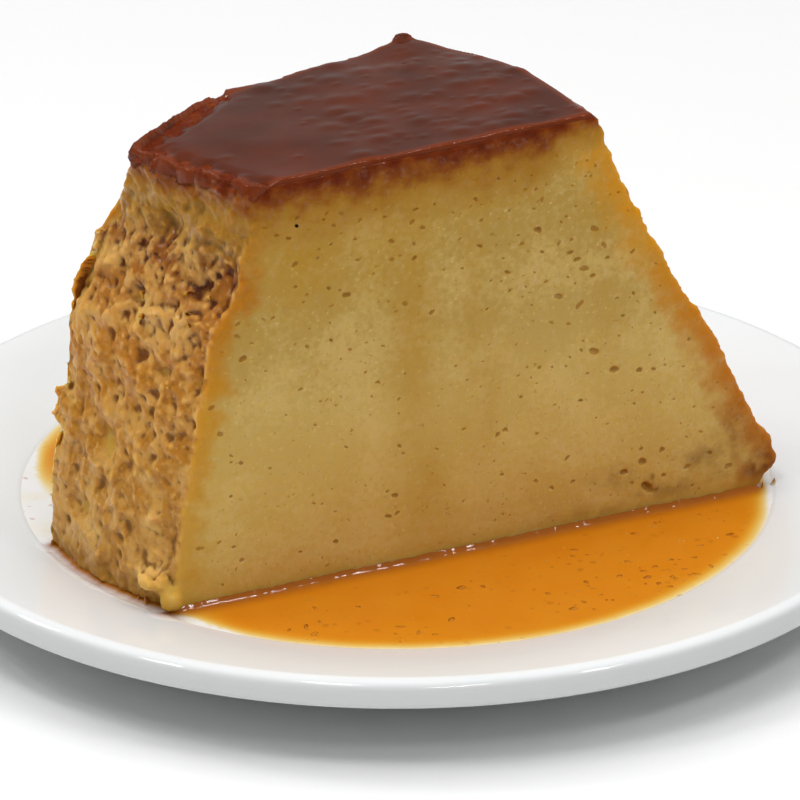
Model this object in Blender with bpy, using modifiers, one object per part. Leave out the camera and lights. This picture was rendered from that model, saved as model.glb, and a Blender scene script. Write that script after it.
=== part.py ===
"""A slice of creme caramel flan standing on its small round plate, in a pool of caramel sauce.

Units are metres, +Z is up. The origin is on the plate's axis, at the bottom of its foot ring.
The slice's front cut faces -Y, and its rough side is at -X.
"""
import math

import bmesh
import bpy
import numpy as np
from mathutils import Vector

# Plate
PLATE_RADIUS = 0.0800
PLATE_HEIGHT = 0.01525          # top of the rounded rim
RIM_ROUND = 0.0020              # radius of the rim's top roll
LIP_ROUND = 0.0012              # radius of the rim's lower edge
LIP_SIDE = 0.00125              # upright stretch between the two rounds
WELL_FLOOR = 0.0080             # height of the flat inside
WELL_EDGE_RADIUS = 0.0589       # where the well's wall would meet the slope, if it weren't rounded
WELL_EDGE_HEIGHT = 0.0106
WELL_TILT = math.radians(42)    # of the well's low wall
WELL_BLEND = 0.0025             # radius of the curve from floor to wall
EDGE_BLEND = 0.0030             # and of the curve from wall to slope
BASE_HEIGHT = 0.0040            # underside of the flat part, above the table
BASE_RADIUS = 0.0520
FOOT_OUTER = 0.0460
FOOT_INNER = 0.0420
FOOT_BEVEL = 0.0006
PLATE_STEPS = 72

# Sauce
SAUCE_LEVEL = 0.01045           # it fills the well nearly to its edge

# Slice
FRONT_Y = -0.0275               # plane of the front cut
CARAMEL_THICKNESS = 0.0018
GAP = 0.0003                    # kept between pieces that touch
SLICE_START = 0.0070            # the body is made from here and then cut to the plate
LEFT_TOP = 0.0771               # height of the top at the front's left and right corners
RIGHT_TOP = 0.0788
TOP_LEFT_X = -0.0360
TOP_RIGHT_X = 0.0193
DEPTH_AT_LEFT = 0.0323          # front cut to back cut, at the left foot
LEFT_FOOT_X = -0.0496
DEPTH_GAIN = 0.1515             # the cuts part by this much for each metre to the right
CORNER_X = -0.0260              # the back left corner is broken off left of this
CORNER_SLOPE = 0.58             # slope of the broken edge beside the back cut
CORNER_DROP = 0.75              # how steeply the break fades below the top
RIGHT_ROUNDING = 0.0115         # how far the right wall curves in at the back
FOOT_BULGE = 0.0038             # how far the left side swells between its ends, at the foot
HEAD_BULGE = 0.0008             # and at the top
BULGE_SKEW = 0.6                # below 1, that swelling sits nearer the front
LUMP_HEIGHT = 0.0009            # relief of the rough left side
LUMP_FADE = 6                   # how quickly that relief fades away from the left side
LUMP_START = 0.0080             # the relief grows to its full height this far above the sauce
CELLS = 17                      # the body is a box of this many cells each way
FLAT_CELLS = 4                  # a low piece has this many cells upwards
HEIGHT_CROWDING = 1.25          # above 1, rows of cells crowd together at the foot
SAUCE_CUT_TOP = 0.0120

# Edges of the slice, as (height, x): the upright edges of the left side and of the front's right end
FRONT_LEFT_EDGE = (
    (0.0070, -0.0497), (0.0158, -0.0499), (0.0222, -0.0491), (0.0318, -0.0477), (0.0412, -0.0459),
    (0.0475, -0.0450), (0.0552, -0.0436), (0.0593, -0.0399), (0.0670, -0.0382), (0.0771, -0.0360),
)
BACK_LEFT_EDGE = (
    (0.0070, -0.0592), (0.0210, -0.0587), (0.0310, -0.0574), (0.0406, -0.0554), (0.0493, -0.0551),
    (0.0550, -0.0525), (0.0600, -0.0508), (0.0650, -0.0468), (0.0771, -0.0452),
)
RIGHT_EDGE = (
    (0.0070, 0.0484), (0.0104, 0.0490), (0.0123, 0.0501), (0.0151, 0.0529), (0.0193, 0.0517),
    (0.0215, 0.0493), (0.0300, 0.0451), (0.0383, 0.0414), (0.0469, 0.0354), (0.0582, 0.0292),
    (0.0704, 0.0228), (0.0788, 0.0193),
)

COLOURS = {
    "plate": ((0.80, 0.80, 0.79, 1.0), 0.12),
    "caramel_sauce": ((0.60, 0.20, 0.01, 1.0), 0.08),
    "custard": ((0.47, 0.30, 0.09, 1.0), 0.40),
    "caramel_top": ((0.12, 0.05, 0.03, 1.0), 0.18),
}


def clear_scene():
    for old in list(bpy.data.objects):
        bpy.data.objects.remove(old, do_unlink=True)


def new_collection(name):
    collection = bpy.data.collections.new(name)
    bpy.context.scene.collection.children.link(collection)
    return collection


def material(name):
    colour, roughness = COLOURS[name]
    finish = bpy.data.materials.new(name)
    finish.use_nodes = True
    shader = finish.node_tree.nodes["Principled BSDF"]
    shader.inputs["Base Color"].default_value = colour
    shader.inputs["Roughness"].default_value = roughness
    shader.inputs["Metallic"].default_value = 0.0
    finish.diffuse_color = colour
    return finish


def add_object(name, mesh, collection):
    made = bpy.data.objects.new(name, mesh)
    collection.objects.link(made)
    return made


def hide_cutter(cutter):
    cutter.hide_render = True
    cutter.display_type = "WIRE"


def arc(centre, radius, start, end, count):
    """Points of an arc in the (radius, height) plane, angles in degrees."""
    angles = (math.radians(start + (end - start) * i / count) for i in range(count + 1))
    return [(centre[0] + radius * math.cos(a), centre[1] + radius * math.sin(a)) for a in angles]


def slope_angle():
    """Tilt of the plate's slope: a line from the well's edge that touches the rim's roll."""
    run = PLATE_RADIUS - RIM_ROUND - WELL_EDGE_RADIUS
    rise = PLATE_HEIGHT - RIM_ROUND - WELL_EDGE_HEIGHT
    return math.atan2(rise, run) + math.asin(RIM_ROUND / math.hypot(run, rise))


def well_profile(lift):
    """The plate's inside from its axis, over floor and wall, to the start of the slope, raised by lift."""
    tilt = slope_angle()
    wall = math.degrees(WELL_TILT)
    corner = WELL_EDGE_RADIUS - (WELL_EDGE_HEIGHT - WELL_FLOOR) / math.tan(WELL_TILT)
    floor_end = corner - WELL_BLEND * math.tan(WELL_TILT / 2)
    low_centre = (floor_end, WELL_FLOOR + WELL_BLEND + lift)
    slope_start = EDGE_BLEND * math.tan((WELL_TILT - tilt) / 2)
    high_centre = (
        WELL_EDGE_RADIUS + slope_start * math.cos(tilt) + EDGE_BLEND * math.sin(tilt),
        WELL_EDGE_HEIGHT + slope_start * math.sin(tilt) - EDGE_BLEND * math.cos(tilt) + lift,
    )
    profile = [(0.0, WELL_FLOOR + lift)]
    profile += arc(low_centre, WELL_BLEND, -90, wall - 90, 3)
    profile += arc(high_centre, EDGE_BLEND, 90 + wall, 90 + math.degrees(tilt), 3)
    return profile


def turned(name, profile, collection):
    """A closed solid turned from a profile that runs from the axis out, down and back to the axis."""
    mesh = bpy.data.meshes.new(name)
    edges = [(i, i + 1) for i in range(len(profile) - 1)]
    mesh.from_pydata([(radius, 0.0, height) for radius, height in profile], edges, [])
    made = add_object(name, mesh, collection)
    screw = made.modifiers.new("turn", "SCREW")
    screw.axis = "Z"
    screw.angle = math.tau
    screw.steps = PLATE_STEPS
    screw.render_steps = PLATE_STEPS
    screw.use_merge_vertices = True
    screw.merge_threshold = 0.00001
    return made


def plate_profile():
    tilt = math.degrees(slope_angle())
    rim_centre = (PLATE_RADIUS - RIM_ROUND, PLATE_HEIGHT - RIM_ROUND)
    lip_centre = (PLATE_RADIUS - LIP_ROUND, PLATE_HEIGHT - RIM_ROUND - LIP_SIDE)
    profile = well_profile(0.0)
    profile += arc(rim_centre, RIM_ROUND, 90 + tilt, 0, 6)
    profile += arc(lip_centre, LIP_ROUND, 0, tilt - 90, 4)
    profile += [(BASE_RADIUS, BASE_HEIGHT), (FOOT_OUTER, BASE_HEIGHT), (FOOT_OUTER, 0.0)]
    profile += [(FOOT_INNER, 0.0), (FOOT_INNER, BASE_HEIGHT), (0.0, BASE_HEIGHT)]
    return profile


def make_plate(collection):
    plate = turned("plate", plate_profile(), collection)
    bevel = plate.modifiers.new("soft foot", "BEVEL")
    bevel.width = FOOT_BEVEL
    bevel.segments = 2
    bevel.limit_method = "ANGLE"
    bevel.angle_limit = math.radians(50)
    return plate


def make_plate_cutter(collection):
    """Everything under the plate's inside surface, raised by the gap that resting pieces keep."""
    tilt = slope_angle()
    reach = PLATE_RADIUS * 1.1
    height = WELL_EDGE_HEIGHT + GAP + (reach - WELL_EDGE_RADIUS) * math.tan(tilt)
    profile = well_profile(GAP) + [(reach, height), (reach, -BASE_HEIGHT), (0.0, -BASE_HEIGHT)]
    cutter = turned("plate_cutter", profile, collection)
    hide_cutter(cutter)
    return cutter


def along_edge(edge, height):
    heights, places = zip(*edge)
    return float(np.interp(height, heights, places))


def top_height(x):
    """The top leans a little: it is higher at the right."""
    share = (x - TOP_LEFT_X) / (TOP_RIGHT_X - TOP_LEFT_X)
    return LEFT_TOP + (RIGHT_TOP - LEFT_TOP) * share


def depth(x, height):
    """Front cut to back cut, less the broken corner at the back left."""
    full = DEPTH_AT_LEFT + DEPTH_GAIN * (x - LEFT_FOOT_X)
    lost = max(0.0, CORNER_X - x) * CORNER_SLOPE
    below = max(0.0, LEFT_TOP - height)
    return full - max(0.0, lost - below * CORNER_DROP)


def lumps(back, height):
    """Relief of the rough left side, from waves of unlike lengths, with a smooth foot."""
    growth = min(1.0, max(0.0, height - SAUCE_LEVEL) / LUMP_START)
    first = math.sin(height * 780 + 2.1 * math.sin(back * 260))
    second = math.sin(back * 910 - 1.3 * math.cos(height * 410) + 0.7)
    third = math.sin((height + back) * 1430 + 1.9)
    return growth * LUMP_HEIGHT * (0.5 * first + 0.35 * second + 0.25 * third)


def slice_point(across, back, height):
    """Place in the slice of a point given by shares across (left to right) and back, and a height."""
    swell = HEAD_BULGE + (FOOT_BULGE - HEAD_BULGE) * max(0.0, 1 - height / LEFT_TOP)
    front_x = along_edge(FRONT_LEFT_EDGE, height)
    back_x = along_edge(BACK_LEFT_EDGE, height)
    left = front_x + (back_x - front_x) * back - swell * math.sin(math.pi * back ** BULGE_SKEW)
    right = along_edge(RIGHT_EDGE, height) - RIGHT_ROUNDING * back ** 4
    x = left + (right - left) * across
    x -= lumps(back * DEPTH_AT_LEFT, height) * (1 - across) ** LUMP_FADE
    return Vector((x, FRONT_Y + back * depth(x, height), height))


def cell_box(cells_up):
    """A cube of size 1 with CELLS cells across and back, and cells_up cells upwards."""
    shape = bmesh.new()
    bmesh.ops.create_cube(shape, size=1.0)
    upright = [edge for edge in shape.edges if abs(edge.verts[0].co.z - edge.verts[1].co.z) > 0.5]
    level = [edge for edge in shape.edges if edge not in upright]
    bmesh.ops.subdivide_edges(shape, edges=level, cuts=CELLS - 1, use_grid_fill=True)
    upright = [edge for edge in shape.edges if abs(edge.verts[0].co.z - edge.verts[1].co.z) > 0.5]
    bmesh.ops.subdivide_edges(shape, edges=upright, cuts=cells_up - 1)
    return shape


def slice_box(name, bottom, top, cells_up, collection, crowding=1.0, grow=0.0):
    """A box of cells shaped into the slice, from height bottom(x) to height top(x).

    grow moves its sides outwards, for a cutter that leaves a gap round the slice.
    """
    shape = cell_box(cells_up)
    for corner in shape.verts:
        across, back, up = (value + 0.5 for value in corner.co)
        share = up ** crowding
        guess = slice_point(across, back, bottom(0.0) + (top(0.0) - bottom(0.0)) * share)
        height = bottom(guess.x) + (top(guess.x) - bottom(guess.x)) * share
        place = slice_point(across, back, height)
        place.x += grow * (2 * across - 1)
        place.y += grow * (2 * back - 1)
        corner.co = place
    mesh = bpy.data.meshes.new(name)
    shape.to_mesh(mesh)
    shape.free()
    return add_object(name, mesh, collection)


def subtract(piece, cutter):
    cut = piece.modifiers.new("cut by " + cutter.name, "BOOLEAN")
    cut.operation = "DIFFERENCE"
    cut.solver = "EXACT"
    cut.object = cutter


def make_custard(collection, plate_cutter):
    """The slice's body, cut below to the plate that it stands on."""
    def bottom(x):
        return SLICE_START

    def top(x):
        return top_height(x) - CARAMEL_THICKNESS - GAP

    custard = slice_box("custard", bottom, top, CELLS, collection, crowding=HEIGHT_CROWDING)
    subtract(custard, plate_cutter)
    return custard


def make_caramel_top(collection):
    """The layer of set caramel that runs over the whole top."""
    def bottom(x):
        return top_height(x) - CARAMEL_THICKNESS

    return slice_box("caramel_top", bottom, top_height, FLAT_CELLS // 2, collection)


def make_slice_cutter(cutters):
    def bottom(x):
        return SLICE_START

    def top(x):
        return SAUCE_CUT_TOP

    cutter = slice_box("slice_cutter", bottom, top, FLAT_CELLS, cutters, grow=GAP)
    hide_cutter(cutter)
    return cutter


def make_sauce(collection, cutters, plate_cutter):
    """A disc of sauce up to its level, cut round the plate's inside and round the slice's foot."""
    disc = [(0.0, SAUCE_LEVEL), (PLATE_RADIUS, SAUCE_LEVEL), (PLATE_RADIUS, BASE_HEIGHT), (0.0, BASE_HEIGHT)]
    sauce = turned("caramel_sauce", disc, collection)
    slice_cutter = make_slice_cutter(cutters)
    subtract(sauce, plate_cutter)
    subtract(sauce, slice_cutter)
    return sauce


def main():
    clear_scene()
    parts = new_collection("creme_caramel_flan")
    cutters = new_collection("cutters")
    plate_cutter = make_plate_cutter(cutters)
    pieces = [
        make_plate(parts),
        make_sauce(parts, cutters, plate_cutter),
        make_custard(parts, plate_cutter),
        make_caramel_top(parts),
    ]
    for piece in pieces:
        piece.data.materials.append(material(piece.name))


main()
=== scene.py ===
# %% [markdown]
# # A slice of creme caramel on its plate
# A tall slice of baked custard stands in a pool of thin amber caramel on a small white plate. Its top is a
# layer of dark caramel, its front and back were cut with a knife, and its left side is rough and moist.
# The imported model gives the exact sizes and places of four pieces: plate, sauce, custard and caramel top.
# This lesson keeps those places and gives each piece its real surface.
#
# We start by loading that model. Every later size is read from it or named in millimetres.

# %% Load the frame
import math
import random

import bmesh
import bpy
import numpy as np
from mathutils import Euler, Matrix, Vector, noise
from mathutils.bvhtree import BVHTree


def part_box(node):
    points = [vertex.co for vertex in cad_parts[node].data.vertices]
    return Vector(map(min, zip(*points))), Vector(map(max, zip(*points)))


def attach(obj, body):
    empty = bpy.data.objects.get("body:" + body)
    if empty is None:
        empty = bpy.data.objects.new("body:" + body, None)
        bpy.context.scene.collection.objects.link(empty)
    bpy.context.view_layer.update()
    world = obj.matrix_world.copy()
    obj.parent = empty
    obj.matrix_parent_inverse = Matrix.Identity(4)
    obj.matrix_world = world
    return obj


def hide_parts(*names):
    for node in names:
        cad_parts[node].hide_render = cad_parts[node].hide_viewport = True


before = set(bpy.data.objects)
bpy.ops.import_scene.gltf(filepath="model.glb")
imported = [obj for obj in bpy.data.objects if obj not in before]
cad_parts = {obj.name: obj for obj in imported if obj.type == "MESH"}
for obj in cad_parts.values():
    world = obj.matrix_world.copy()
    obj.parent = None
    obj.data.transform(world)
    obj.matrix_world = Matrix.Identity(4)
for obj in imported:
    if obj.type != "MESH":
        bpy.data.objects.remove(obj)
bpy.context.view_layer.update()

MM = 0.001
plate_low, plate_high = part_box("plate")
sauce_low, sauce_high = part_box("caramel_sauce")
custard_low, custard_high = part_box("custard")
caramel_low, caramel_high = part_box("caramel_top")
SAUCE_LEVEL = sauce_high.z
FRONT_Y = custard_low.y
print("plate across", round(plate_high.x * 2 / MM, 1), "mm, slice tall to", round(caramel_high.z / MM, 1), "mm")

# %% [markdown]
# ## Small helpers
# Most of Blender's operators act on the selection, so the first helper selects one piece alone. The others
# copy a node of the frame, run a modifier and apply it, and pick faces by their place and direction. Applying
# each modifier at once keeps the steps in order, as if they were done by hand.

# %% Selecting, copying and applying
def take(piece):
    """Selects this piece alone and makes it the active one."""
    bpy.ops.object.select_all(action="DESELECT")
    piece.select_set(True)
    bpy.context.view_layer.objects.active = piece
    return piece


def copy_node(node, name):
    """A free copy of a frame node, with its loose triangles merged into one skin."""
    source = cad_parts[node]
    piece = bpy.data.objects.new(name, source.data.copy())
    bpy.context.scene.collection.objects.link(piece)
    piece.data.materials.clear()
    take(piece)
    bpy.ops.object.mode_set(mode="EDIT")
    bpy.ops.mesh.select_all(action="SELECT")
    bpy.ops.mesh.remove_doubles(threshold=0.005 * MM)
    bpy.ops.object.mode_set(mode="OBJECT")
    return piece


def work(piece, kind, **settings):
    """Adds a modifier of this kind with these settings and applies it."""
    take(piece)
    step = piece.modifiers.new(kind.title(), kind)
    for name, value in settings.items():
        setattr(step, name, value)
    bpy.ops.object.modifier_apply(modifier=step.name)


def pick_faces(piece, wanted):
    """Goes into edit mode with just the faces selected for which wanted(centre, normal) is true."""
    take(piece)
    bpy.ops.object.mode_set(mode="EDIT")
    bpy.ops.mesh.select_mode(type="FACE")
    bpy.ops.mesh.select_all(action="DESELECT")
    bpy.ops.object.mode_set(mode="OBJECT")
    for face in piece.data.polygons:
        face.select = wanted(face.center, face.normal)
    bpy.ops.object.mode_set(mode="EDIT")


def weigh(piece, name, share):
    """A vertex group whose weight at each vertex is share(place, normal)."""
    group = piece.vertex_groups.new(name=name)
    for vertex in piece.data.vertices:
        amount = min(1.0, share(vertex.co, vertex.normal))
        if amount > 0.001:
            group.add([vertex.index], amount, "REPLACE")
    return name


def paint(piece, name, share):
    """A number stored at each vertex, share(place, normal), for the material to read."""
    values = [share(vertex.co, vertex.normal) for vertex in piece.data.vertices]
    layer = piece.data.attributes.new(name, "FLOAT", "POINT")
    layer.data.foreach_set("value", np.array(values, np.float32))


def ramp(value, start, end):
    """0 at start, 1 at end, smooth between; end may be below start."""
    share = max(0.0, min(1.0, (value - start) / (end - start)))
    return share * share * (3 - 2 * share)


def triangles(piece):
    return sum(len(face.vertices) - 2 for face in piece.data.polygons)


def scatter(name, seeds, places):
    """One mesh that holds a copy of a seed mesh at each of these places, using the seeds in turn."""
    shape = bmesh.new()
    for index, place in enumerate(places):
        fresh = seeds[index % len(seeds)].copy()
        fresh.transform(place)
        shape.from_mesh(fresh)
        bpy.data.meshes.remove(fresh)
    mesh = bpy.data.meshes.new(name)
    shape.to_mesh(mesh)
    shape.free()
    piece = bpy.data.objects.new(name, mesh)
    bpy.context.scene.collection.objects.link(piece)
    return piece


def ball(detail):
    """The mesh of a ball of radius 1, kept as a seed for scatter."""
    bpy.ops.object.select_all(action="DESELECT")
    bpy.ops.mesh.primitive_ico_sphere_add(subdivisions=detail, radius=1.0)
    made = bpy.context.active_object
    mesh = made.data.copy()
    bpy.data.objects.remove(made)
    return mesh


def placed(centre, size, turn=(0.0, 0.0, 0.0)):
    """A matrix that scales by size (three numbers), turns and then moves to centre."""
    return Matrix.Translation(centre) @ Euler(turn).to_matrix().to_4x4() @ Matrix.Diagonal((*size, 1.0))


print("helpers ready")

# %% [markdown]
# ## Camera
# The camera looks down a little and stands to the left of the front cut, so it sees the cut, the rough left
# side and the dark top. It is far away with a long lens, which keeps the upright lines nearly parallel.

# %% Camera
VIEW_TURN = math.radians(-26.4)
VIEW_TILT = math.radians(24.57)
VIEW_DISTANCE = 941 * MM
LENS = 270
AIM = Vector((0.7 * MM, 0.3 * MM, SAUCE_LEVEL + 14.1 * MM))

camera_data = bpy.data.cameras.new("camera")
camera_data.lens = LENS
camera_data.sensor_width = 36
camera_data.clip_start = 0.01
camera = bpy.data.objects.new("camera", camera_data)
bpy.context.scene.collection.objects.link(camera)
pool_centre = Vector((0, 0, SAUCE_LEVEL))
towards_camera = Vector((
    math.sin(VIEW_TURN) * math.cos(VIEW_TILT),
    -math.cos(VIEW_TURN) * math.cos(VIEW_TILT),
    math.sin(VIEW_TILT),
))
camera.location = pool_centre + towards_camera * VIEW_DISTANCE
camera.rotation_euler = (AIM - camera.location).to_track_quat("-Z", "Y").to_euler()
bpy.context.scene.camera = camera
print("camera", [round(value, 3) for value in camera.location])

# %% [markdown]
# ## Studio
# A pale even world and a wide soft lamp above give the quiet light. Moist food and glaze also need something
# small and bright to mirror, so pairs of narrow lamps stand round the front: each lump, pit and rim then carries
# its own short spark. The wide lamp is hidden from reflections, because it would veil them in grey. The floor is
# plain.

# %% World, lamps and floor
world = bpy.data.worlds.new("studio")
bpy.context.scene.world = world
world.use_nodes = True
world.node_tree.nodes["Background"].inputs["Color"].default_value = (1.0, 1.0, 1.0, 1.0)
world.node_tree.nodes["Background"].inputs["Strength"].default_value = 0.26
bpy.context.scene.view_settings.view_transform = "Standard"


def lamp(name, place, width, height, power, lean=0.0):
    """A flat lamp of this width and height that looks at the slice, leaning by this angle."""
    data = bpy.data.lights.new(name, "AREA")
    data.shape = "RECTANGLE"
    data.size = width
    data.size_y = height
    data.energy = power
    made = bpy.data.objects.new(name, data)
    bpy.context.scene.collection.objects.link(made)
    made.location = place
    facing = (Vector((0, 0, 30 * MM)) - Vector(place)).to_track_quat("-Z", "Y").to_matrix()
    made.rotation_euler = (facing @ Matrix.Rotation(math.radians(lean), 3, "Z")).to_euler()
    return made


def around(turn, tilt, distance):
    """A place at this compass turn from the camera and this height angle, in degrees."""
    angle = VIEW_TURN + math.radians(turn)
    flat = math.cos(math.radians(tilt)) * distance
    return Vector((math.sin(angle) * flat, -math.cos(angle) * flat, math.sin(math.radians(tilt)) * distance))


soft_top = lamp("soft_top", (0.0, 0.04, 1.0), 1.3, 1.3, 9.8)
soft_top.visible_glossy = False
SPARKS = ((50, 46), (55, 50), (-60, 46), (-66, 51), (-18, 60), (-25, 64), (12, 42), (18, 46), (-98, 42), (-104, 47))
SPARK_POWER = 0.34
for index, (turn, tilt) in enumerate(SPARKS):
    lamp(f"spark_{index}", around(turn, tilt, 0.9), 0.10, 0.02, SPARK_POWER, 25 if turn < 0 else 0)

bpy.ops.object.select_all(action="DESELECT")
bpy.ops.mesh.primitive_plane_add(size=6.0, location=(0, 0, 0))
floor = bpy.context.active_object
floor.name = "floor"

# %% [markdown]
# ## Shader helpers and shared effects
# A material is a small network of nodes. These helpers add a node with its settings and join sockets, so that
# each material below reads as a short list. Three effects serve several materials, so each is a node group:
# patches of uneven tone, a fine uneven surface as a height for bump, and soft uneven spots.

# %% Node helpers
def add_node(tree, kind, **inputs):
    """A node of this kind. Each keyword is an input by name: a value is set, and a socket is joined."""
    made = tree.nodes.new(kind)
    for name, value in inputs.items():
        socket = made.inputs[name.replace("_", " ")]
        if isinstance(value, bpy.types.NodeSocket):
            tree.links.new(value, socket)
        else:
            socket.default_value = value
    return made


def blend_colours(tree, share, first, second):
    """Colour that goes from first to second as share goes from 0 to 1."""
    made = tree.nodes.new("ShaderNodeMix")
    made.data_type = "RGBA"
    for index, value in ((0, share), (6, first), (7, second)):
        if isinstance(value, bpy.types.NodeSocket):
            tree.links.new(value, made.inputs[index])
        else:
            made.inputs[index].default_value = value if index == 0 else (*value[:3], 1.0)
    return made.outputs[2]


def spread(tree, value, low, high, new_low=0.0, new_high=1.0):
    """Value moved from the range low..high to new_low..new_high, and held inside it."""
    made = add_node(tree, "ShaderNodeMapRange", Value=value)
    made.interpolation_type = "SMOOTHSTEP"
    for name, number in (("From Min", low), ("From Max", high), ("To Min", new_low), ("To Max", new_high)):
        made.inputs[name].default_value = number
    return made.outputs["Result"]


def gradient(tree, value, stops):
    """The colour that lies at value along these stops, pairs of a position from 0 to 1 and a colour."""
    made = add_node(tree, "ShaderNodeValToRGB", Fac=value)
    points = made.color_ramp.elements
    while len(points) < len(stops):
        points.new(1.0)
    for point, (position, colour) in zip(points, stops):
        point.position = position
        point.color = (*colour, 1.0)
    return made.outputs["Color"]


def arithmetic(tree, kind, first, second=0.0):
    made = tree.nodes.new("ShaderNodeMath")
    made.operation = kind
    for index, value in ((0, first), (1, second)):
        if isinstance(value, bpy.types.NodeSocket):
            tree.links.new(value, made.inputs[index])
        else:
            made.inputs[index].default_value = value
    return made.outputs[0]


def stored(tree, name):
    """The number painted on the piece under this name."""
    made = tree.nodes.new("ShaderNodeAttribute")
    made.attribute_name = name
    return made.outputs["Fac"]


def own_place(tree):
    return tree.nodes.new("ShaderNodeTexCoord").outputs["Object"]


def new_material(name, **settings):
    """A material with its Principled BSDF set by input names."""
    finish = bpy.data.materials.new(name)
    finish.use_nodes = True
    shader = finish.node_tree.nodes["Principled BSDF"]
    for key, value in settings.items():
        shader.inputs[key.replace("_", " ")].default_value = value
    return finish, finish.node_tree, shader


def new_group(name, inputs, outputs):
    """An empty node group with these float inputs (name, start value), a Vector input and float outputs."""
    group = bpy.data.node_groups.new(name, "ShaderNodeTree")
    group.interface.new_socket("Vector", in_out="INPUT", socket_type="NodeSocketVector")
    for key, value in inputs:
        group.interface.new_socket(key, in_out="INPUT", socket_type="NodeSocketFloat").default_value = value
    for key in outputs:
        group.interface.new_socket(key, in_out="OUTPUT", socket_type="NodeSocketFloat")
    return group, group.nodes.new("NodeGroupInput"), group.nodes.new("NodeGroupOutput")


def use_group(tree, group, **inputs):
    made = tree.nodes.new("ShaderNodeGroup")
    made.node_tree = group
    for name, value in inputs.items():
        socket = made.inputs[name.replace("_", " ")]
        if isinstance(value, bpy.types.NodeSocket):
            tree.links.new(value, socket)
        else:
            socket.default_value = value
    return made


def bump(tree, height, strength, distance, under=None):
    made = add_node(tree, "ShaderNodeBump", Height=height, Strength=strength, Distance=distance)
    if under is not None:
        tree.links.new(under, made.inputs["Normal"])
    return made.outputs["Normal"]


# %% Shared effects
patches, patch_in, patch_out = new_group("patchy_tone", [("Size", 5.0), ("Contrast", 2.0)], ["Share"])
per_metre = arithmetic(patches, "DIVIDE", 1000.0, patch_in.outputs["Size"])
cloud = add_node(patches, "ShaderNodeTexNoise", Vector=patch_in.outputs["Vector"], Scale=per_metre, Detail=3.0)
centred = arithmetic(patches, "SUBTRACT", cloud.outputs["Fac"], 0.5)
stretched = arithmetic(patches, "MULTIPLY", centred, patch_in.outputs["Contrast"])
lifted = arithmetic(patches, "ADD", stretched, 0.5)
held = add_node(patches, "ShaderNodeClamp", Value=lifted)
patches.links.new(held.outputs["Result"], patch_out.inputs["Share"])

grain, grain_in, grain_out = new_group("fine_surface", [("Size", 1.0)], ["Height"])
grain_scale = arithmetic(grain, "DIVIDE", 1000.0, grain_in.outputs["Size"])
grain_cloud = add_node(
    grain, "ShaderNodeTexNoise", Vector=grain_in.outputs["Vector"], Scale=grain_scale, Detail=3.0, Roughness=0.6
)
grain.links.new(grain_cloud.outputs["Fac"], grain_out.inputs["Height"])

spots, spot_in, spot_out = new_group("uneven_spots", [("Size", 2.0), ("Amount", 0.4)], ["Share"])
spot_scale = arithmetic(spots, "DIVIDE", 1000.0, spot_in.outputs["Size"])
warp = add_node(spots, "ShaderNodeTexNoise", Vector=spot_in.outputs["Vector"], Scale=spot_scale, Detail=1.0)
shift = spots.nodes.new("ShaderNodeVectorMath")
shift.operation = "MULTIPLY_ADD"
spots.links.new(warp.outputs["Color"], shift.inputs[0])
shift.inputs[1].default_value = (1.2 * MM, 1.2 * MM, 1.2 * MM)
spots.links.new(spot_in.outputs["Vector"], shift.inputs[2])
cell = add_node(spots, "ShaderNodeTexVoronoi", Vector=shift.outputs["Vector"], Scale=spot_scale)
tint = add_node(spots, "ShaderNodeSeparateColor", Color=cell.outputs["Color"])
reach = arithmetic(spots, "MULTIPLY", tint.outputs["Green"], 0.45)
inside = arithmetic(spots, "MULTIPLY", arithmetic(spots, "SUBTRACT", reach, cell.outputs["Distance"]), 5.0)
chosen = arithmetic(spots, "LESS_THAN", tint.outputs["Red"], spot_in.outputs["Amount"])
soft_spot = add_node(spots, "ShaderNodeClamp", Value=arithmetic(spots, "MULTIPLY", inside, chosen))
spots.links.new(soft_spot.outputs["Result"], spot_out.inputs["Share"])
print("groups", patches.name, grain.name, spots.name)

floor_finish, floor_tree, floor_shader = new_material("pale_floor", Roughness=0.9)
floor_shader.inputs["Base Color"].default_value = (0.88, 0.88, 0.88, 1.0)
floor_shader.inputs["Specular IOR Level"].default_value = 0.1
floor.data.materials.append(floor_finish)

# %% [markdown]
# ## Plate
# The real plate is turned porcelain: a flat well with a low wall, a gentle slope, a rounded rim and a foot ring.
# A lathe shape is easiest as a profile that is spun round the axis. We draw the profile by extruding a single
# vertex from point to point, with arcs where the potter's tool leaves rounds, and spin it in fine steps.

# %% Plate profile
WELL_FLOOR = 8.0 * MM
WELL_EDGE = (58.9 * MM, 10.6 * MM)
WELL_TILT = math.radians(42)
WELL_BLEND = 2.5 * MM
EDGE_BLEND = 3.0 * MM
RIM_ROUND = 2.0 * MM
LIP_ROUND = 1.2 * MM
LIP_SIDE = 1.25 * MM
BASE_HEIGHT = 4.0 * MM
BASE_RADIUS = 52 * MM
FOOT_OUTER = 46 * MM
FOOT_INNER = 42 * MM
FOOT_ROUND = 0.6 * MM
PLATE_RADIUS = plate_high.x
PLATE_HEIGHT = plate_high.z
SPIN_STEPS = 180


def arc(centre, radius, start, end, count):
    """Points of an arc in the (radius, height) plane, angles in degrees."""
    angles = (math.radians(start + (end - start) * i / count) for i in range(count + 1))
    return [(centre[0] + radius * math.cos(a), centre[1] + radius * math.sin(a)) for a in angles]


rim_run = PLATE_RADIUS - RIM_ROUND - WELL_EDGE[0]
rim_rise = PLATE_HEIGHT - RIM_ROUND - WELL_EDGE[1]
SLOPE_TILT = math.atan2(rim_rise, rim_run) + math.asin(RIM_ROUND / math.hypot(rim_run, rim_rise))


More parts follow.
